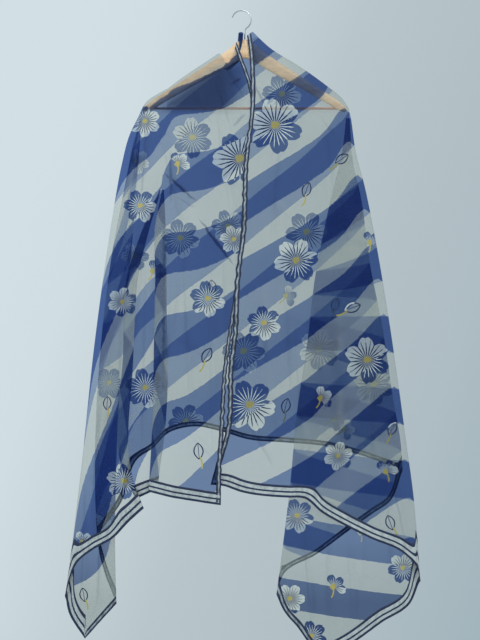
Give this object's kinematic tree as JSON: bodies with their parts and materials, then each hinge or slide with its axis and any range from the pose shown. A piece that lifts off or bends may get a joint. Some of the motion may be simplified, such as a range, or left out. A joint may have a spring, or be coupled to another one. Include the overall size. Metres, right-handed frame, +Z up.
{
  "type": "dupatta stole on a wooden coat hanger",
  "caption": "Sheer printed dupatta stole hung like a shawl on a wooden coat hanger with a wire hook, its two tails folded back behind the fronts",
  "frame": {"origin": "inside the top of the hook's bend, where the rail it hangs from bears on it", "axes": "+Z up, the front of the stole faces -Y, +X to the right of someone who looks at the front"},
  "size_m": [0.76, 0.0615, 1.3957],
  "materials": {
    "organza": "sheer silk-like organza with wide diagonal stripes of blue and cream and large flowers in the opposite colour",
    "satin_border": "banded border, white lines between navy lines, rolled navy edge",
    "varnished_wood": "light lacquered wood, rounded edges",
    "bright_steel": "plated wire"
  },
  "bodies": {
    "root": {"back_panel": "organza", "right_front": "organza", "right_under_fold": "organza", "right_inner_fold": "organza", "left_front": "organza", "left_pleat_return": "organza", "left_pleat_recess": "organza", "left_pleat_lip": "organza", "left_outer_front": "organza", "left_under_fold": "organza", "left_inner_fold": "organza", "neck_gather": "organza", "right_front_border": "satin_border", "right_tail_border": "satin_border", "right_tail_edging": "satin_border", "right_inner_edging": "satin_border", "right_centre_edging": "satin_border", "left_centre_edging": "satin_border", "left_front_border": "satin_border", "left_pleat_return_border": "satin_border", "left_pleat_recess_border": "satin_border", "left_pleat_lip_border": "satin_border", "left_outer_border": "satin_border", "left_tail_border": "satin_border", "left_tail_edging": "satin_border", "left_inner_edging": "satin_border", "back_edging": "satin_border", "neck_edging": "satin_border", "hanger_arm_left": "varnished_wood", "hanger_arm_right": "varnished_wood", "trouser_bar": "varnished_wood", "hook": "bright_steel"}
  },
  "joints": []
}
